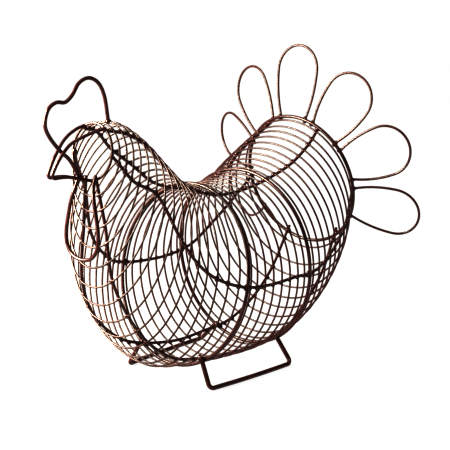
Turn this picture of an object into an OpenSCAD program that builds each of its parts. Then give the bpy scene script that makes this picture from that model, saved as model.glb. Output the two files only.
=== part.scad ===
// Hen-shaped wire basket: hoops of thin wire on six long ribs, open at the tail,
// with a comb, a beak, a wattle, a fan of tail feathers and two foot loops.
// +Z is up, the head points along -X, and the middle plane is Y = 0.

/* [Wire] */
// Diameter of the thin wire that the cage hoops are bent from
hoop_wire = 1.4; // [1.2:0.1:1.6]
// Diameter of the heavy hoops at the breast, rump and tail mouth
frame_wire = 2.8; // [2.6:0.1:3]
// Diameter of the face hoop
face_wire = 2; // [1.8:0.1:2.4]
// Diameter of the six long ribs
rib_wire = 2.4; // [2.2:0.1:2.6]
// Diameter of the tail feather wire
feather_wire = 2; // [1.8:0.1:2.2]
// Diameter of the comb wire
comb_wire = 2.8; // [2.6:0.1:3]
// Diameter of the beak wires
beak_wire = 2.4; // [2.2:0.1:2.6]
// Diameter of the wattle wire
wattle_wire = 2.8; // [2.6:0.1:3]
// Diameter of the foot wire
foot_wire = 3.6; // [3.4:0.1:3.8]

/* [Feathers] */
// Half the distance between a feather's legs on the tail hoop
feather_foot = 14; // [12:0.5:15]
// Radius of a feather's round end
feather_tip_r = 21.5; // [20:0.5:22]
// Length of the middle feather, from the tail hoop to its tip
middle_feather_len = 62.5; // [58:0.5:63.5]
// Length of the outer feathers, three on each side
outer_feather_len = 58.5; // [55:0.5:60]
// How far the feathers lean back from the plane of the tail hoop
feather_lean = 20; // [16:1:24]

/* [Feet] */
// Distance between the two foot loops at the front
foot_gap_front = 94; // [90:1:98]
// Distance between the two foot loops at the rear
foot_gap_rear = 105; // [100:1:110]
// How far the wire on the floor bows outwards
foot_bow = 1.5; // [0:0.5:3]
// Front corners of the foot loops
foot_front = -38; // [-40:1:-36]
// Rear corners of the foot loops
foot_rear = 57; // [55:1:59]

/* [Hidden] */
// Depth to which touching wires are sunk into each other at a weld
weld = 0.25;
// Profile of the cage, as evenly spaced hoops from the face to the tail mouth. Each row
// has the hoop's top [x, z], its bottom [x, z], and its width over its height.
profile = [
    [[-112.5, 219], [-119.5, 177], 1],
    [[-92, 217.5], [-119, 138.5], 0.75],
    [[-71.5, 204], [-120, 91.5], 0.7],
    [[-53, 185], [-96.5, 47], 0.73],
    [[-34, 168], [-67.5, 20], 0.78],
    [[-8.5, 158.5], [-39, 13.5], 0.94],
    [[12.5, 156.5], [-0.5, 10], 0.975],
    [[36.5, 158.5], [36, 9.5], 0.98],
    [[61, 165.5], [67.5, 15.5], 0.985],
    [[78.5, 177], [96.5, 32], 1],
    [[100, 190], [121.5, 56], 1],
    [[118, 201], [143, 87.5], 1],
];
// Hoop places run from 0 at the face to 34 at the tail mouth
last_place = 34;
face_place = 0;
breast_place = 15.85;
rump_place = 23.5;
tail_place = last_place;
neck_places = [for (i = [1 : 15]) i];
belly_places = concat([16.25], [for (i = [17 : 22]) i], [22.85]);
rump_places = concat([24.1], [for (i = [25 : 32]) i], [33.35]);
// From here on the hoops are true circles, and so is the face hoop
first_round_place = 27.5;

neck_names = [for (i = [1 : len(neck_places)]) str("neck_hoop_", i)];
belly_names = [for (i = [1 : len(belly_places)]) str("belly_hoop_", i)];
rump_names = [for (i = [1 : len(rump_places)]) str("rump_hoop_", i)];
feather_names = [for (i = [1 : 7]) str("tail_feather_", i)];
rib_names = ["left_rib", "upper_left_rib", "upper_right_rib", "right_rib", "lower_right_rib", "lower_left_rib"];

// ---- Vector and curve helpers ----
function unit(v) = v / norm(v);
function blend4(a, b, c, d, t) =
    0.5 * (2 * b + (c - a) * t + (2 * a - 5 * b + 4 * c - d) * t * t + (3 * b - a - 3 * c + d) * t * t * t);
// The row at whole number i, carried on in a straight line past both ends
function row(list, i) =
    i < 0 ? 2 * list[0] - list[1]
    : i >= len(list) ? 2 * list[len(list) - 1] - list[len(list) - 2]
    : list[i];
// Smooth curve through a list, at place u from 0 to len - 1
function along(list, u) =
    let (i = min(max(floor(u), 0), len(list) - 2))
    blend4(row(list, i - 1), list[i], list[i + 1], row(list, i + 2), u - i);
// Points of a smooth open curve, with a number of steps between each pair of given points
function smooth_curve(points, steps) =
    [for (k = [0 : steps * (len(points) - 1)]) along(points, k / steps)];

// ---- The cage as one smooth surface ----
function profile_at(w) = along(profile, w * (len(profile) - 1) / last_place);
function hoop_centre(s) = [(s[0][0] + s[1][0]) / 2, 0, (s[0][1] + s[1][1]) / 2];
function hoop_up(s) = unit([s[0][0] - s[1][0], 0, s[0][1] - s[1][1]]);
function hoop_half_height(s) = norm(s[0] - s[1]) / 2;
// Point of the hoop centre line: a = 0 is the hen's left, 90 the top, 180 its right
function hoop_point(w, a, grow = 0) =
    let (s = profile_at(w), h = hoop_half_height(s))
    hoop_centre(s) + hoop_up(s) * (h + grow) * sin(a) - [0, 1, 0] * (h * s[2] + grow) * cos(a);
// Direction square to the cage surface, pointing outwards
function cage_out(w, a) =
    unit(cross(hoop_point(w + 0.1, a) - hoop_point(w - 0.1, a), hoop_point(w, a + 1) - hoop_point(w, a - 1)));

// ---- Bent wire ----
function tangent(points, i, closed) =
    let (n = len(points))
    closed ? unit(points[(i + 1) % n] - points[(i + n - 1) % n])
    : unit(points[min(i + 1, n - 1)] - points[max(i - 1, 0)]);
// A round wire along a list of points. Side gives a direction across the wire at each point.
module bent_wire(points, side, d, sides = 6, closed = false) {
    n = len(points);
    rings = [for (i = [0 : n - 1])
        let (t = tangent(points, i, closed), u = unit(side[i] - t * (side[i] * t)), v = cross(t, u))
        for (k = [0 : sides - 1]) points[i] + (u * cos(360 * k / sides) + v * sin(360 * k / sides)) * d / 2];
    walls = [for (i = [0 : closed ? n - 1 : n - 2], k = [0 : sides - 1])
        let (a = i * sides, b = ((i + 1) % n) * sides, m = (k + 1) % sides)
        each [[a + k, b + k, b + m], [a + k, b + m, a + m]]];
    caps = closed ? [] : [
        [for (k = [0 : sides - 1]) k],
        [for (k = [0 : sides - 1]) n * sides - 1 - k],
    ];
    polyhedron(rings, concat(walls, caps), convexity = 10);
}
function same_side(points, v) = [for (p = points) v];

// ---- Hoops ----
// A true round hoop
module round_hoop(w, d, grow = 0) {
    s = profile_at(w);
    up = hoop_up(s);
    translate(hoop_centre(s))
        rotate([0, 90 - atan2(-up[0], up[2]), 0])
        rotate_extrude($fn = 72)
        translate([hoop_half_height(s) + grow, 0])
        circle(d = d, $fn = 24);
}
// A hoop that is a little narrower than it is high. Its corners stand out by half the
// height of a facet, so that the facets follow the curve on average.
hoop_steps = 36;
module oval_hoop(w, d, grow = 0, sides = 6) {
    s = profile_at(w);
    up = hoop_up(s);
    corner = hoop_half_height(s) * (1 - cos(180 / hoop_steps)) / 2;
    points = [for (k = [0 : hoop_steps - 1]) hoop_point(w, 360 * k / hoop_steps, grow + corner)];
    bent_wire(points, same_side(points, [-up[2], 0, up[0]]), d, sides, closed = true);
}
module cage_hoop(w) {
    if (w < first_round_place) oval_hoop(w, hoop_wire);
    else round_hoop(w, hoop_wire);
}
// The heavy hoops' inner faces line up with those of the thin hoops
frame_grow = (frame_wire - hoop_wire) / 2;
face_grow = (face_wire - hoop_wire) / 2;

// ---- Ribs ----
// Angle of each rib at the rows of the profile, from the level of the hoop's middle. The
// side ribs climb a little in the neck, and hand bending leaves the two sides uneven.
left_rib_angles = [-2, 2, 20, 10, 5, 1, 0, 0, -4, -5, -7, -10];
right_rib_angles = [-4, 4, 15, 3, 1, -1, -2, -3, -4.5, -5, -4.5, -3];
upper_left_rib_angles = [60, 58, 69, 70, 71, 71, 71, 71, 69, 64, 62, 61];
upper_right_rib_angles = [57, 54, 56, 66, 70, 71, 71, 71, 69, 64, 62, 61];
lower_left_rib_angles = [-74, -65, -61, -62, -60, -61, -66, -62, -58, -60, -57, -54];
lower_right_rib_angles = [-74, -69, -71, -58, -55, -62, -66, -65, -68, -70, -70, -67];
function rib_angle(list, w) = along(list, w * (len(list) - 1) / last_place);
rib_start = -0.15;
rib_end = last_place + 0.4;
rib_steps = 36;
rib_sink = (hoop_wire + rib_wire) / 2 - weld;
function rib_point(angles, w) =
    let (a = rib_angle(angles, w))
    hoop_point(w, a) - cage_out(w, a) * rib_sink;
// A rib inside the hoops, on one side (mirrored = 1 is the hen's right)
module rib(angles, mirrored) {
    places = [for (k = [0 : rib_steps]) rib_start + (rib_end - rib_start) * k / rib_steps];
    outs = [for (w = places) cage_out(w, rib_angle(angles, w))];
    points = [for (w = places) rib_point(angles, w)];
    mirror([0, mirrored, 0]) bent_wire(points, outs, rib_wire);
}

// ---- Tail feathers ----
tail_row = profile[len(profile) - 1];
tail_centre = hoop_centre(tail_row);
tail_up = hoop_up(tail_row);
tail_back = [tail_up[2], 0, -tail_up[0]];
tail_r = hoop_half_height(tail_row) + (frame_wire - hoop_wire) / 2;
// Angles of the feathers round the tail hoop, from the hen's left over the top
feather_angles = [-15, 20, 54.5, 90, 127, 163, 200.5];
// The legs are shallow arcs that run smoothly into the round end
leg_past_hoop = 4;
module feather(angle, length) {
    arc_at = length - feather_tip_r;
    narrowing = feather_tip_r - feather_foot;
    leg_r = (arc_at ^ 2 + narrowing ^ 2) / (2 * narrowing);
    leg_turn = asin(arc_at / leg_r) + leg_past_hoop / leg_r * 180 / PI;
    leg = [for (k = [0 : 8]) let (b = leg_turn * (8 - k) / 8)
        [arc_at - leg_r * sin(b), feather_tip_r - leg_r + leg_r * cos(b)]];
    tip = [for (k = [1 : 17]) let (b = 90 - 10 * k)
        [arc_at + feather_tip_r * cos(b), feather_tip_r * sin(b)]];
    outline = concat(leg, tip, [for (k = [8 : -1 : 0]) [leg[k][0], -leg[k][1]]]);
    out = tail_up * sin(angle) - [0, 1, 0] * cos(angle);
    axis = out * cos(feather_lean) + tail_back * sin(feather_lean);
    across = cross(tail_back, out);
    face = cross(axis, across);
    base = tail_centre + out * tail_r + face * ((frame_wire + feather_wire) / 2 - weld);
    points = [for (p = outline) base + axis * p[0] + across * p[1]];
    bent_wire(points, same_side(points, face), feather_wire);
}

// ---- Head ----
function mid_plane(points) = [for (p = points) [p[0], 0, p[1]]];
comb_line = [
    [-102.5, 238], [-108.5, 249], [-118, 253.5], [-127.5, 250.5], [-134.5, 242],
    [-141.5, 237.5], [-150, 238], [-157.5, 233.5], [-160.8, 223], [-157, 213.5], [-147, 202],
    [-138, 194], [-129, 180],
];
// One beak wire, from the face hoop to the tip of the beak and back along the chin
beak_line = [
    [-113.9, -11.4, 216.3], [-120, -11, 215.3], [-125, -9.8, 214], [-130.3, -8.5, 212.3],
    [-136.5, -6.5, 209.7], [-141.8, -4.6, 206.5], [-147, -3.6, 201.3], [-151.3, -3, 196],
    [-154.8, -2.6, 190.5], [-157, -2.4, 186], [-155.6, -2.4, 183.2], [-149, -2.4, 183],
    [-141, -2.4, 182.2], [-132, -2.4, 179.8], [-120.4, -3, 176.9],
];
// The rear leg of the comb stands on the top of the second neck hoop
comb_foot = hoop_point(2, 90) + [0, 0, hoop_wire / 2 - weld];
module comb_wire_bend() {
    points = smooth_curve(concat([comb_foot], mid_plane(comb_line)), 3);
    bent_wire(points, same_side(points, [0, 1, 0]), comb_wire);
}
module beak_wire_bend() {
    points = smooth_curve(beak_line, 2);
    bent_wire(points, same_side(points, [0, 1, 0]), beak_wire);
}
// Half of the wattle, from its end on the face hoop to its lowest point
wattle_line = [
    [-121.6, 9, 180.2], [-124.6, 9.8, 172], [-126.6, 12.5, 163], [-127.4, 16, 149],
    [-128, 18, 137], [-128.5, 16.8, 127], [-128.9, 10.5, 119.5], [-129, 0, 117],
];
module wattle_loop() {
    last = len(wattle_line) - 1;
    other_half = [for (k = [last - 1 : -1 : 0]) let (p = wattle_line[k]) [p[0], -p[1], p[2]]];
    points = smooth_curve(concat(wattle_line, other_half), 3);
    bent_wire(points, same_side(points, [1, 0, 0]), wattle_wire);
}

// ---- Feet ----
foot_z = foot_wire / 2;
corner_r = 4;
front_leg_place = breast_place - 0.27;
rear_leg_place = rump_place - 0.27;
// Where a leg ends: beside the rib, on its outer flank, a little past it
function leg_end(angles, w, corner) =
    let (p = rib_point(angles, w), lean = unit([0, p[1] - corner[1], p[2] - corner[2]]))
    [p[0], p[1], p[2]] + cross([1, 0, 0], lean) * ((foot_wire + rib_wire) / 2 - weld) + lean * 1.5;
// Points that round the corner b between a and c
function rounded(a, b, c, r) =
    let (u = unit(a - b), v = unit(c - b), half = acos(u * v) / 2, back = r / tan(half),
         middle = b + unit(u + v) * (r / sin(half)), start = b + u * back - middle, end = b + v * back - middle)
    [for (k = [0 : 4]) let (t = k / 4, turn = 180 - 2 * half)
        middle + (start * sin((1 - t) * turn) + end * sin(t * turn)) / sin(turn)];
module foot_loop(angles) {
    front = [foot_front, -foot_gap_front / 2, foot_z];
    rear = [foot_rear, -foot_gap_rear / 2, foot_z];
    bow = [(foot_front + foot_rear) / 2, -(foot_gap_front + foot_gap_rear) / 4 - foot_bow, foot_z];
    front_end = leg_end(angles, front_leg_place, front);
    rear_end = leg_end(angles, rear_leg_place, rear);
    rail = [for (k = [1 : 7]) let (t = k / 8)
        front * (1 - t) ^ 2 + (2 * bow - (front + rear) / 2) * 2 * t * (1 - t) + rear * t ^ 2];
    points = concat(
        [front_end, (front_end + front) / 2], rounded(front_end, front, rail[0], corner_r), rail,
        rounded(rail[6], rear, rear_end, corner_r), [(rear_end + rear) / 2, rear_end]
    );
    bent_wire(points, same_side(points, [0, 1, 0]), foot_wire, 8);
}

// ---- Sub-parts ----
dark = [0.17, 0.09, 0.075];
module face_hoop() { color(dark) round_hoop(face_place, face_wire, face_grow); }
module breast_hoop() { color(dark) oval_hoop(breast_place, frame_wire, frame_grow, 8); }
module rump_frame_hoop() { color(dark) oval_hoop(rump_place, frame_wire, frame_grow, 8); }
module tail_hoop() { color(dark) round_hoop(tail_place, frame_wire, frame_grow); }
module thin_hoop(w) { color(dark) cage_hoop(w); }
module left_rib() { color(dark) rib(left_rib_angles, 0); }
module upper_left_rib() { color(dark) rib(upper_left_rib_angles, 0); }
module upper_right_rib() { color(dark) rib(upper_right_rib_angles, 1); }
module right_rib() { color(dark) rib(right_rib_angles, 1); }
module lower_right_rib() { color(dark) rib(lower_right_rib_angles, 1); }
module lower_left_rib() { color(dark) rib(lower_left_rib_angles, 0); }
module tail_feather(i) {
    color(dark) feather(feather_angles[i - 1], i == 4 ? middle_feather_len : outer_feather_len);
}
module comb() { color(dark) comb_wire_bend(); }
module left_beak_wire() { color(dark) beak_wire_bend(); }
module right_beak_wire() { color(dark) mirror([0, 1, 0]) beak_wire_bend(); }
module wattle() { color(dark) wattle_loop(); }
module left_foot() { color(dark) foot_loop(lower_left_rib_angles); }
module right_foot() { color(dark) mirror([0, 1, 0]) foot_loop(lower_right_rib_angles); }

face_hoop();
breast_hoop();
rump_frame_hoop();
tail_hoop();
for (i = [0 : len(neck_places) - 1]) thin_hoop(neck_places[i]);
for (i = [0 : len(belly_places) - 1]) thin_hoop(belly_places[i]);
for (i = [0 : len(rump_places) - 1]) thin_hoop(rump_places[i]);
left_rib();
upper_left_rib();
upper_right_rib();
right_rib();
lower_right_rib();
lower_left_rib();
for (i = [0 : 6]) tail_feather(i + 1);
comb();
left_beak_wire();
right_beak_wire();
wattle();
left_foot();
right_foot();
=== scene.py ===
import random
from math import acos, asin, cos, floor, pi, radians, sin, tan

import bmesh
import bpy
from mathutils import Matrix, Vector


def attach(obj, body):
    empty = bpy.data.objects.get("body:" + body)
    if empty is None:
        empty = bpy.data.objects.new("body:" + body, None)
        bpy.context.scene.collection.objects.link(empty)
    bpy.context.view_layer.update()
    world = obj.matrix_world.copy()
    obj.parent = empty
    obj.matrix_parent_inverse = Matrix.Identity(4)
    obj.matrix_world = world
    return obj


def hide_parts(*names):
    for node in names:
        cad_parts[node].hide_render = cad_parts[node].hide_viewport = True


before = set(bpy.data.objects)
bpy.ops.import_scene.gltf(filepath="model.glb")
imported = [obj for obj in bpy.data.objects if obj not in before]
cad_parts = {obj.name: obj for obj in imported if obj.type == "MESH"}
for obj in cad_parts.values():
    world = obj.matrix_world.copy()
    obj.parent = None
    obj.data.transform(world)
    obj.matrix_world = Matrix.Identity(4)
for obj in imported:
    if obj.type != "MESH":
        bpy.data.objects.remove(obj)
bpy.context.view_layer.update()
mm = 0.001
white = (1.0, 1.0, 1.0, 1.0)
scene = bpy.context.scene
scene.view_settings.view_transform = "Standard"
scene.view_settings.gamma = 0.44  # a contrasty print, so that fine dark wires stay dark on white

# Camera: long lens, a little above the basket, off its beak and left side
cameraSet = {
    "target": (0.0312, 0.0, 0.11817),
    "distance": 1.1,
    "azimuth": -47.492,
    "elevation": 12.319,
    "lens": 104.306,
    "sensor": 36.0,
    "nearest": 0.05,
    "farthest": 60.0,
}


def pointAlong(thing, way):
    thing.rotation_euler = way.to_track_quat("-Z", "Y").to_euler()


def placeCamera(look):
    turn = radians(look["azimuth"])
    rise = radians(look["elevation"])
    back = Vector((sin(turn) * cos(rise), -cos(turn) * cos(rise), sin(rise)))
    data = bpy.data.cameras.new("studioCamera")
    data.lens = look["lens"]
    data.sensor_width = look["sensor"]
    data.clip_start = look["nearest"]
    data.clip_end = look["farthest"]
    camera = bpy.data.objects.new("studioCamera", data)
    camera.location = Vector(look["target"]) + back * look["distance"]
    pointAlong(camera, -back)
    scene.collection.objects.link(camera)
    scene.camera = camera


placeCamera(cameraSet)
print("camera placed")

# Soft studio light: a warm soft box close to the head, three broad suns, and a pale room
lightSet = {
    "headBox": {"at": (-0.44, 0.26, 0.33), "towards": (-0.10, 0.0, 0.14), "power": 10.0, "size": 0.34,
                "colour": (1.0, 0.96, 0.82)},
    "key": {"from": (-0.72, 0.60, 0.42), "strength": 2.9, "spread": 20, "colour": (1.0, 0.96, 0.84)},
    "topFill": {"from": (0.1, -0.35, 1.0), "strength": 1.3, "spread": 70, "colour": (1.0, 0.96, 0.9)},
    "backFill": {"from": (0.5, 1.2, 0.9), "strength": 1.0, "spread": 60, "colour": (0.97, 0.98, 1.0)},
    "roomSeen": 1.0,  # the room looks white
    "roomLight": 0.18,  # but lights the basket dimly
}


def addNode(tree, kind, settings=None, links=None):
    node = tree.nodes.new(kind)
    for key, value in (settings or {}).items():
        if key in node.inputs:
            node.inputs[key].default_value = value
        else:
            setattr(node, key, value)
    for key, source in (links or {}).items():
        tree.links.new(source, node.inputs[key])
    return node


def addSun(name, look):
    data = bpy.data.lights.new(name, "SUN")
    data.energy = look["strength"]
    data.angle = radians(look["spread"])
    data.color = look["colour"]
    sun = bpy.data.objects.new(name, data)
    pointAlong(sun, -Vector(look["from"]))
    scene.collection.objects.link(sun)


def addSoftBox(name, look):
    data = bpy.data.lights.new(name, "AREA")
    data.energy = look["power"]
    data.size = look["size"]
    data.color = look["colour"]
    softBox = bpy.data.objects.new(name, data)
    softBox.location = look["at"]
    softBox.visible_camera = False
    pointAlong(softBox, Vector(look["towards"]) - Vector(look["at"]))
    scene.collection.objects.link(softBox)


def makeRoom(look):
    room = bpy.data.worlds.new("paleRoom")
    room.use_nodes = True
    tree = room.node_tree
    sight = addNode(tree, "ShaderNodeLightPath")
    level = addNode(tree, "ShaderNodeMapRange", {"To Min": look["roomLight"], "To Max": look["roomSeen"]},
                    {"Value": sight.outputs["Is Camera Ray"]})
    walls = tree.nodes["Background"]
    walls.inputs["Color"].default_value = white
    tree.links.new(level.outputs["Result"], walls.inputs["Strength"])
    scene.world = room


addSoftBox("headBox", lightSet["headBox"])
for lightName in ("key", "topFill", "backFill"):
    addSun(lightName, lightSet[lightName])
makeRoom(lightSet)
print("lights placed")


# Materials
def linearColour(hexText):
    def toLinear(part):
        value = int(part, 16) / 255
        return value / 12.92 if value <= 0.04045 else ((value + 0.055) / 1.055) ** 2.4
    return tuple(toLinear(hexText[start:start + 2]) for start in (1, 3, 5)) + (1.0,)


# Dipped gloss enamel on drawn steel wire: it pools dark and thick in places and runs thin and
# brown in others, and its skin is smooth but never quite flat, so highlights break up a little.
enamelSet = {
    "poolSize": 14 * mm,  # length of the thick and thin runs of paint
    "poolDetail": 3.0,
    "poolRoughness": 0.55,
    "poolEdges": (0.36, 0.68),  # noise levels where the paint is all thick and all thin
    "speckSize": 3.5 * mm,  # patches of duller paint
    "speckEdges": (0.35, 0.65),  # noise levels where the paint is all smooth and all dull
    "skinSize": 1.6 * mm,  # orange peel, drawn a little coarse so that it shows
    "skinDepth": 0.05 * mm,
    "skinStrength": 0.35,
    "fineDetail": 2.0,  # of both the specks and the skin
    "ior": 1.5,
    "specular": 1.0,
}
enamelTones = {  # thick paint, thin paint, and the smooth and dull roughness
    "frame_wire_coating": ("#441a15", "#562c26", 0.26, 0.38),
    "thin_wire_coating": ("#431b16", "#57312a", 0.28, 0.38),
    "rib_coating": ("#481a15", "#5c2e27", 0.26, 0.40),
    "feather_coating": ("#481e18", "#5f372f", 0.28, 0.38),
    "foot_coating": ("#4a1c16", "#60312a", 0.26, 0.38),
    "head_wire_coating": ("#481a15", "#5a2c25", 0.24, 0.36),
}


def makeEnamel(name, tones):
    thick, thin, smooth, dull = tones
    paint = bpy.data.materials.new("brownGlossEnamel_" + name)
    paint.use_nodes = True
    tree = paint.node_tree
    shader = tree.nodes["Principled BSDF"]
    place = addNode(tree, "ShaderNodeTexCoord").outputs["Object"]
    pools = addNode(tree, "ShaderNodeTexNoise",
                    {"Scale": 1 / enamelSet["poolSize"], "Detail": enamelSet["poolDetail"],
                     "Roughness": enamelSet["poolRoughness"]}, {"Vector": place})
    tone = addNode(tree, "ShaderNodeValToRGB", links={"Fac": pools.outputs["Fac"]})
    for stop, edge, colour in zip(tone.color_ramp.elements, enamelSet["poolEdges"], (thick, thin)):
        stop.position = edge
        stop.color = linearColour(colour)
    specks = addNode(tree, "ShaderNodeTexNoise",
                     {"Scale": 1 / enamelSet["speckSize"], "Detail": enamelSet["fineDetail"]},
                     {"Vector": place})
    allSmooth, allDull = enamelSet["speckEdges"]
    gloss = addNode(tree, "ShaderNodeMapRange",
                    {"From Min": allSmooth, "From Max": allDull, "To Min": smooth, "To Max": dull},
                    {"Value": specks.outputs["Fac"]})
    skin = addNode(tree, "ShaderNodeTexNoise",
                   {"Scale": 1 / enamelSet["skinSize"], "Detail": enamelSet["fineDetail"]},
                   {"Vector": place})
    ripple = addNode(tree, "ShaderNodeBump",
                     {"Strength": enamelSet["skinStrength"], "Distance": enamelSet["skinDepth"]},
                     {"Height": skin.outputs["Fac"]})
    tree.links.new(tone.outputs["Color"], shader.inputs["Base Color"])
    tree.links.new(gloss.outputs["Result"], shader.inputs["Roughness"])
    tree.links.new(ripple.outputs["Normal"], shader.inputs["Normal"])
    shader.inputs["IOR"].default_value = enamelSet["ior"]
    shader.inputs["Specular IOR Level"].default_value = enamelSet["specular"]
    return paint


enamels = {name: makeEnamel(name, tones) for name, tones in enamelTones.items()}
print("enamels mixed:", len(enamels))

# Floor: a matt opal table that glows, so that only a faint soft shadow shows on it
floorSet = {"halfSize": 14.0, "colour": "#5c5c5b", "glow": 0.9, "roughness": 0.9, "specular": 0.0}


def makeFloor(look):
    sheet = bmesh.new()
    bmesh.ops.create_grid(sheet, x_segments=1, y_segments=1, size=look["halfSize"])
    mesh = bpy.data.meshes.new("paleFloor")
    sheet.to_mesh(mesh)
    sheet.free()
    matt = bpy.data.materials.new("litOpalTable")
    matt.use_nodes = True
    shader = matt.node_tree.nodes["Principled BSDF"]
    shader.inputs["Base Color"].default_value = linearColour(look["colour"])
    shader.inputs["Roughness"].default_value = look["roughness"]
    shader.inputs["Specular IOR Level"].default_value = look["specular"]
    shader.inputs["Emission Color"].default_value = white
    shader.inputs["Emission Strength"].default_value = look["glow"]
    mesh.materials.append(matt)
    top = bpy.data.objects.new("paleFloor", mesh)
    scene.collection.objects.link(top)


makeFloor(floorSet)
print("floor laid")

# The cage as one smooth surface, in mm. Each row holds a hoop's top x and z, its bottom x and z,
# and its width over its height, in even steps from the face to the tail mouth. A place along the
# cage runs from 0 at the face to lastPlace at the tail mouth. An angle round a hoop is 0 on the
# left and 90 at the top.
cageSet = {
    "profile": [
        (-112.5, 219, -119.5, 177, 1), (-92, 217.5, -119, 138.5, 0.75), (-71.5, 204, -120, 91.5, 0.7),
        (-53, 185, -96.5, 47, 0.73), (-34, 168, -67.5, 20, 0.78), (-8.5, 158.5, -39, 13.5, 0.94),
        (12.5, 156.5, -0.5, 10, 0.975), (36.5, 158.5, 36, 9.5, 0.98), (61, 165.5, 67.5, 15.5, 0.985),
        (78.5, 177, 96.5, 32, 1), (100, 190, 121.5, 56, 1), (118, 201, 143, 87.5, 1),
    ],
    "lastPlace": 34,
    "weld": 0.25,  # touching wires sink into each other by this
    "feelPlace": 0.1,  # steps either way to feel the surface's slope
    "feelAngle": 1,
}
cageRows = [Vector(row) for row in cageSet["profile"]]
tailwards = Vector((1, 0, 0))
sideways = Vector((0, 1, 0))
upwards = Vector((0, 0, 1))
topAngle = 90


def rowAt(rows, index):
    if index < 0:
        return rows[0] * 2 - rows[1]
    if index >= len(rows):
        return rows[-1] * 2 - rows[-2]
    return rows[index]


# A smooth curve through even rows, which are vectors or plain numbers
def along(rows, place):
    index = min(max(floor(place), 0), len(rows) - 2)
    share = place - index
    before, here, after, beyond = [rowAt(rows, index + step) for step in (-1, 0, 1, 2)]
    slope = (after - before) * share
    bend = (before * 2 - here * 5 + after * 4 - beyond) * share * share
    swing = (here * 3 - before - after * 3 + beyond) * share ** 3
    return 0.5 * (here * 2 + slope + bend + swing)


def smoothCurve(points, steps):
    spots = [Vector(point) for point in points]
    return [along(spots, step / steps) for step in range(steps * (len(spots) - 1) + 1)]


def alongCage(rows, place):
    return along(rows, place * (len(rows) - 1) / cageSet["lastPlace"])


def hoopShape(place):
    topX, topZ, lowX, lowZ, ratio = alongCage(cageRows, place)
    top = Vector((topX, 0, topZ))
    low = Vector((lowX, 0, lowZ))
    return (top + low) / 2, (top - low).normalized(), (top - low).length / 2, ratio


def hoopPoint(place, angle, grow=0.0):
    centre, up, half, ratio = hoopShape(place)
    turn = radians(angle)
    return centre + up * (half + grow) * sin(turn) - sideways * (half * ratio + grow) * cos(turn)


def hoopWay(place, angle):
    feel = cageSet["feelAngle"]
    return hoopPoint(place, angle + feel) - hoopPoint(place, angle - feel)


def cageOut(place, angle):
    feel = cageSet["feelPlace"]
    lengthwise = hoopPoint(place + feel, angle) - hoopPoint(place - feel, angle)
    return lengthwise.cross(hoopWay(place, angle)).normalized()


def flip(spot):
    return Vector((spot[0], -spot[1], spot[2]))


# Wires are drawn round and even. A cut end is rounded by the paint.
wireSet = {
    "hoop": 1.4, "frame": 2.8, "face": 2.0, "rib": 2.4, "feather": 2.0, "comb": 2.8, "beak": 2.4,
    "wattle": 2.8, "foot": 3.6,
    "roundness": 4,  # the curve's bevel resolution, which gives a wire twelve sides
    "endSteps": ((0.0, 0.3), (0.06, 0.66), (0.16, 0.88), (0.32, 1.0)),  # depth and width, over the gauge
    "endRoom": 1.3,  # the route starts this far in, over the depth of the last end step
    "sameSpot": 1e-7,  # metres
}


def weldGap(first, second):  # between the centre lines of two wires welded side by side
    return (wireSet[first] + wireSet[second]) / 2 - cageSet["weld"]


def roundEnds(spots, gauge):
    intoFirst = (spots[1] - spots[0]).normalized()
    intoLast = (spots[-2] - spots[-1]).normalized()
    steps = wireSet["endSteps"]
    first = [(spots[0] + intoFirst * gauge * depth, width) for depth, width in steps]
    last = [(spots[-1] + intoLast * gauge * depth, width) for depth, width in reversed(steps)]
    reach = gauge * steps[-1][0] * wireSet["endRoom"]
    middle = [(spot, 1.0) for spot in spots[1:-1]
              if (spot - spots[0]).length > reach and (spot - spots[-1]).length > reach]
    return first + middle + last


def bendWire(points, gauge, closed=False):
    spots = [Vector(point) for point in points]
    line = [(spot, 1.0) for spot in spots] if closed else roundEnds(spots, gauge)
    curve = bpy.data.curves.new("bend", "CURVE")
    curve.dimensions = "3D"
    curve.bevel_depth = gauge / 2 * mm
    curve.bevel_resolution = wireSet["roundness"]
    curve.use_fill_caps = True
    spline = curve.splines.new("POLY")
    spline.points.add(len(line) - 1)
    for point, (spot, width) in zip(spline.points, line):
        point.co = (*(spot * mm), 1)
        point.radius = width
    spline.use_cyclic_u = closed
    bent = bpy.data.objects.new("bend", curve)
    scene.collection.objects.link(bent)
    mesh = bpy.data.meshes.new_from_object(bent.evaluated_get(bpy.context.evaluated_depsgraph_get()))
    work = bmesh.new()
    work.from_mesh(mesh)
    bpy.data.objects.remove(bent)
    bpy.data.curves.remove(curve)
    bpy.data.meshes.remove(mesh)
    return work


# A weld bead: a low lump where two wires meet. Its size is half its length, width and height.
beadSet = {"segments": 8, "rings": 5, "smallest": 0.85, "largest": 1.12, "seed": 11}
beadLuck = random.Random(beadSet["seed"])


def addBead(work, spot, way, out, size):
    length, width, height = size
    lengthwise = way.normalized()
    upright = (out - lengthwise * out.dot(lengthwise)).normalized()
    crosswise = upright.cross(lengthwise)
    luck = beadLuck.uniform(beadSet["smallest"], beadSet["largest"])
    axes = Matrix((lengthwise * length * luck, crosswise * width * luck, upright * height))
    place = Matrix.Translation(spot * mm) @ (axes.transposed().to_4x4() @ Matrix.Scale(mm, 4))
    bmesh.ops.create_uvsphere(work, u_segments=beadSet["segments"], v_segments=beadSet["rings"],
                              radius=1, matrix=place)


def finishPiece(work, name, node, slotName):
    bmesh.ops.remove_doubles(work, verts=work.verts, dist=wireSet["sameSpot"])
    bmesh.ops.recalc_face_normals(work, faces=work.faces)
    mesh = bpy.data.meshes.new(name)
    for face in work.faces:
        face.smooth = True
    work.to_mesh(mesh)
    work.free()
    mesh.materials.append(enamels[slotName])
    piece = bpy.data.objects.new(name, mesh)
    scene.collection.objects.link(piece)
    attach(piece, "root")
    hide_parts(node)


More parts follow.
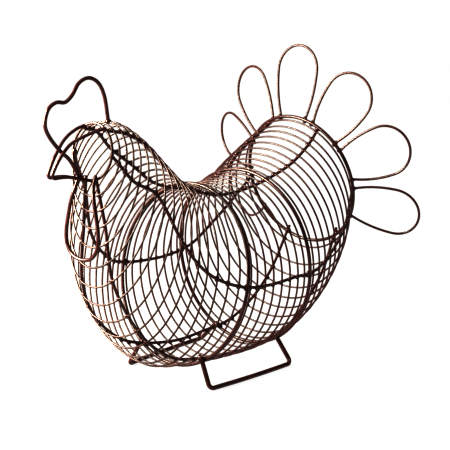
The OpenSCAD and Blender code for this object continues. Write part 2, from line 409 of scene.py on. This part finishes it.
# Hoops, from the face to the tail mouth: heavy ones shape the cage, thin ones fill it
hoopSet = {
    "heavy": {"face_hoop": (0, "face"), "breast_hoop": (15.85, "frame"),
              "rump_frame_hoop": (23.5, "frame"), "tail_hoop": (34, "frame")},
    "neck": list(range(1, 16)),
    "belly": [16.25] + list(range(17, 23)) + [22.85],
    "rump": [24.1] + list(range(25, 33)) + [33.35],
    "steps": 96,
}
hoopSpots = {}  # each hoop's place and gauge
for hoopName, (place, kind) in hoopSet["heavy"].items():
    hoopSpots[hoopName] = (place, wireSet[kind])
for group in ("neck", "belly", "rump"):
    for number, place in enumerate(hoopSet[group], 1):
        hoopSpots[f"{group}_hoop_{number}"] = (place, wireSet["hoop"])


def hoopGrow(gauge):  # all hoops are flush on the inside, so heavy ones stand out
    return (gauge - wireSet["hoop"]) / 2


for hoopName, (place, gauge) in hoopSpots.items():
    steps = hoopSet["steps"]
    ring = [hoopPoint(place, 360 * step / steps, hoopGrow(gauge)) for step in range(steps)]
    heavy = hoopName in hoopSet["heavy"]
    finishPiece(bendWire(ring, gauge, closed=True), hoopName + "_wire", hoopName,
                "frame_wire_coating" if heavy else "thin_wire_coating")
print("hoops bent:", len(hoopSpots))

# Ribs run inside the hoops and are welded to every one. Angles are at the rows of the profile.
# Those of the right ribs are measured on the left side, and the rib is then flipped.
ribSet = {
    "angles": {
        "left_rib": (-2, 2, 20, 10, 5, 1, 0, 0, -4, -5, -7, -10),
        "right_rib": (-4, 4, 15, 3, 1, -1, -2, -3, -4.5, -5, -4.5, -3),
        "upper_left_rib": (60, 58, 69, 70, 71, 71, 71, 71, 69, 64, 62, 61),
        "upper_right_rib": (57, 54, 56, 66, 70, 71, 71, 71, 69, 64, 62, 61),
        "lower_left_rib": (-74, -65, -61, -62, -60, -61, -66, -62, -58, -60, -57, -54),
        "lower_right_rib": (-74, -69, -71, -58, -55, -62, -66, -65, -68, -70, -70, -67),
    },
    "start": -0.15,
    "end": 34.4,
    "steps": 132,
    "bead": (2.5, 2.0, 1.25),
    "heavyBead": (3.2, 2.7, 1.7),
}


def ribAngle(name, place):
    return alongCage(ribSet["angles"][name], place)


def ribPoint(name, place):
    angle = ribAngle(name, place)
    return hoopPoint(place, angle) - cageOut(place, angle) * weldGap("hoop", "rib")


for ribName in ribSet["angles"]:
    reach = ribSet["end"] - ribSet["start"]
    steps = ribSet["steps"]
    route = [ribPoint(ribName, ribSet["start"] + reach * step / steps) for step in range(steps + 1)]
    mirrored = ribName.endswith("right_rib")
    work = bendWire([flip(spot) for spot in route] if mirrored else route, wireSet["rib"])
    for place, gauge in hoopSpots.values():
        angle = ribAngle(ribName, place)
        out = cageOut(place, angle)
        spot = ribPoint(ribName, place) + out * (wireSet["rib"] / 2 - cageSet["weld"] / 2)
        way = hoopWay(place, angle)
        if mirrored:
            spot, way, out = flip(spot), flip(way), flip(out)
        addBead(work, spot, way, out, ribSet["heavyBead" if gauge > wireSet["rib"] else "bead"])
    finishPiece(work, ribName + "_wire", ribName, "rib_coating")
print("ribs welded:", len(ribSet["angles"]))

# Tail feathers: open petals that stand round the back of the tail hoop
featherSet = {
    "angles": (-15, 20, 54.5, 90, 127, 163, 200.5),
    "foot": 14,
    "tipR": 21.5,
    "length": 58.5,
    "middleLength": 62.5,
    "middleNumber": 4,
    "lean": 20,
    "pastHoop": 4,
    "legSteps": 20,
    "tipSteps": 40,
    "bead": (3.0, 2.2, 1.5),
    "beadDepth": 0.45,  # below the petal's centre line, over its gauge
}
tailCentre, tailUp, tailHalf = hoopShape(cageSet["lastPlace"])[:3]
tailBack = Vector((tailUp[2], 0, -tailUp[0]))
tailR = tailHalf + hoopGrow(wireSet["frame"])
featherDip = featherSet["foot"] ** 2 / (2 * tailR)  # the hoop curves away below the petal's feet
featherLean = radians(featherSet["lean"])


def featherOutline(length):
    tipR = featherSet["tipR"]
    arcAt = length - tipR
    narrowing = tipR - featherSet["foot"]
    legR = (arcAt ** 2 + narrowing ** 2) / (2 * narrowing)
    legTurn = asin(arcAt / legR) + featherSet["pastHoop"] / legR
    legSteps = featherSet["legSteps"]
    legTurns = [legTurn * (legSteps - step) / legSteps for step in range(legSteps + 1)]
    leg = [(arcAt - legR * sin(turn), tipR - legR + legR * cos(turn)) for turn in legTurns]
    tipTurns = [pi / 2 - pi * step / featherSet["tipSteps"] for step in range(1, featherSet["tipSteps"])]
    tip = [(arcAt + tipR * cos(turn), tipR * sin(turn)) for turn in tipTurns]
    return leg + tip + [(x, -y) for x, y in reversed(leg)]


for number, angle in enumerate(featherSet["angles"], 1):
    middle = number == featherSet["middleNumber"]
    outline = featherOutline(featherSet["middleLength" if middle else "length"])
    out = tailUp * sin(radians(angle)) - sideways * cos(radians(angle))
    axis = out * cos(featherLean) + tailBack * sin(featherLean)
    across = tailBack.cross(out)
    face = axis.cross(across)
    base = tailCentre + out * tailR + face * weldGap("frame", "feather")
    work = bendWire([base + axis * x + across * y for x, y in outline], wireSet["feather"])
    for side in (-1, 1):
        beadDepth = face * wireSet["feather"] * featherSet["beadDepth"]
        spot = base - axis * featherDip + across * featherSet["foot"] * side - beadDepth
        addBead(work, spot, axis, face, featherSet["bead"])
    finishPiece(work, f"tail_feather_{number}_wire", f"tail_feather_{number}", "feather_coating")
print("feathers welded:", len(featherSet["angles"]))

# Comb: one heavy wire in the middle plane, from the top of the head over to the chin
combSet = {
    "hoopPlace": 2,  # its foot stands on this hoop
    "line": [(-102.5, 238), (-108.5, 249), (-118, 253.5), (-127.5, 250.5), (-134.5, 242),
             (-141.5, 237.5), (-150, 238), (-157.5, 233.5), (-160.8, 223), (-157, 213.5), (-147, 202),
             (-138, 194), (-129, 180)],
    "steps": 10,
    "bead": (2.6, 2.4, 1.6),
}
combFoot = hoopPoint(combSet["hoopPlace"], topAngle) + upwards * (wireSet["hoop"] / 2 - cageSet["weld"])
combRoute = smoothCurve([combFoot] + [(x, 0, z) for x, z in combSet["line"]], combSet["steps"])
work = bendWire(combRoute, wireSet["comb"])
addBead(work, combFoot, sideways, upwards, combSet["bead"])
finishPiece(work, "comb_wire", "comb", "head_wire_coating")

# Beak: a wire on each side, from the crown down to the tip and back under the chin
beakSet = {
    "line": [(-113.9, -11.4, 216.3), (-120, -11, 215.3), (-125, -9.8, 214), (-130.3, -8.5, 212.3),
             (-136.5, -6.5, 209.7), (-141.8, -4.6, 206.5), (-147, -3.6, 201.3), (-151.3, -3, 196),
             (-154.8, -2.6, 190.5), (-157, -2.4, 186), (-155.6, -2.4, 183.2), (-149, -2.4, 183),
             (-141, -2.4, 182.2), (-132, -2.4, 179.8), (-120.4, -3, 176.9)],
    "steps": 8,
    "rootOut": (-1, 0, 0.4),  # which way the bead at the crown bulges
    "bead": (2.2, 2.0, 1.4),
}
beakRoute = smoothCurve(beakSet["line"], beakSet["steps"])
for side in ("left", "right"):
    route = beakRoute if side == "left" else [flip(spot) for spot in beakRoute]
    work = bendWire(route, wireSet["beak"])
    addBead(work, route[0], route[1] - route[0], Vector(beakSet["rootOut"]), beakSet["bead"])
    addBead(work, route[-1], route[-2] - route[-1], upwards, beakSet["bead"])
    finishPiece(work, side + "_beak_bend", side + "_beak_wire", "head_wire_coating")

# Wattle: one loop that hangs from the face hoop
wattleSet = {
    "half": [(-121.6, 9, 180.2), (-124.6, 9.8, 172), (-126.6, 12.5, 163), (-127.4, 16, 149),
             (-128, 18, 137), (-128.5, 16.8, 127), (-128.9, 10.5, 119.5), (-129, 0, 117)],
    "steps": 10,
    "bead": (2.4, 2.0, 1.5),
}
wattleLine = wattleSet["half"] + [(x, -y, z) for x, y, z in reversed(wattleSet["half"][:-1])]
wattleRoute = smoothCurve(wattleLine, wattleSet["steps"])
work = bendWire(wattleRoute, wireSet["wattle"])
for end, beside in ((0, 1), (-1, -2)):
    way = wattleRoute[beside] - wattleRoute[end]
    addBead(work, wattleRoute[end], way, -tailwards, wattleSet["bead"])
finishPiece(work, "wattle_wire", "wattle", "head_wire_coating")
print("head wires bent")

# Feet: a loop under each side, its two legs welded to the outer flank of the lower rib
footSet = {
    "gapFront": 94,
    "gapRear": 105,
    "bow": 1.5,  # outwards, at the middle of the rail
    "front": -38,
    "rear": 57,
    "cornerR": 4,
    "frontLegPlace": 15.58,
    "rearLegPlace": 23.23,
    "legPastRib": 1.5,
    "cornerSteps": 10,
    "railSteps": 32,
    "railTrim": 3,  # steps left off each end of the rail, where the corners bend
    "legSteps": 12,
    "bead": (3.6, 2.6, 2.0),
}


def legEnd(name, place, corner):
    ribSpot = ribPoint(name, place)
    lean = Vector((0, ribSpot.y - corner.y, ribSpot.z - corner.z)).normalized()
    flank = tailwards.cross(lean) * weldGap("foot", "rib")
    return ribSpot + flank + lean * footSet["legPastRib"]


def bowedRail(front, rear):
    bow = (front + rear) / 2 - sideways * footSet["bow"]
    pull = bow * 2 - (front + rear) / 2
    steps = footSet["railSteps"]
    shares = [step / steps for step in range(footSet["railTrim"], steps - footSet["railTrim"] + 1)]
    return [front * (1 - share) ** 2 + pull * 2 * share * (1 - share) + rear * share ** 2
            for share in shares]


def roundCorner(before, corner, after, radius):
    toBefore = (before - corner).normalized()
    toAfter = (after - corner).normalized()
    half = acos(toBefore.dot(toAfter)) / 2
    setBack = radius / tan(half)
    middle = corner + (toBefore + toAfter).normalized() * (radius / sin(half))
    start = corner + toBefore * setBack - middle
    end = corner + toAfter * setBack - middle
    turn = pi - 2 * half
    shares = [step / footSet["cornerSteps"] for step in range(footSet["cornerSteps"] + 1)]
    return [middle + (start * sin((1 - share) * turn) + end * sin(share * turn)) / sin(turn)
            for share in shares]


def straightLeg(start, end):
    return [start.lerp(end, step / footSet["legSteps"]) for step in range(footSet["legSteps"])]


for side in ("left", "right"):
    rib = f"lower_{side}_rib"
    floorZ = wireSet["foot"] / 2
    front = Vector((footSet["front"], -footSet["gapFront"] / 2, floorZ))
    rear = Vector((footSet["rear"], -footSet["gapRear"] / 2, floorZ))
    frontEnd = legEnd(rib, footSet["frontLegPlace"], front)
    rearEnd = legEnd(rib, footSet["rearLegPlace"], rear)
    rail = bowedRail(front, rear)
    frontBend = roundCorner(frontEnd, front, rail[0], footSet["cornerR"])
    rearBend = roundCorner(rail[-1], rear, rearEnd, footSet["cornerR"])
    rearLeg = list(reversed(straightLeg(rearEnd, rearBend[-1])))
    route = straightLeg(frontEnd, frontBend[0]) + frontBend + rail + rearBend + rearLeg
    if side == "right":
        route = [flip(spot) for spot in route]
    work = bendWire(route, wireSet["foot"])
    for place, end, way in ((footSet["frontLegPlace"], route[0], route[1] - route[0]),
                            (footSet["rearLegPlace"], route[-1], route[-2] - route[-1])):
        ribSpot = ribPoint(rib, place) if side == "left" else flip(ribPoint(rib, place))
        spot = end + way.normalized() * footSet["legPastRib"]
        addBead(work, (spot + ribSpot) / 2, way, ribSpot - spot, footSet["bead"])
    finishPiece(work, side + "_foot_wire", side + "_foot", "foot_coating")
print("feet bent")

print("pieces made")
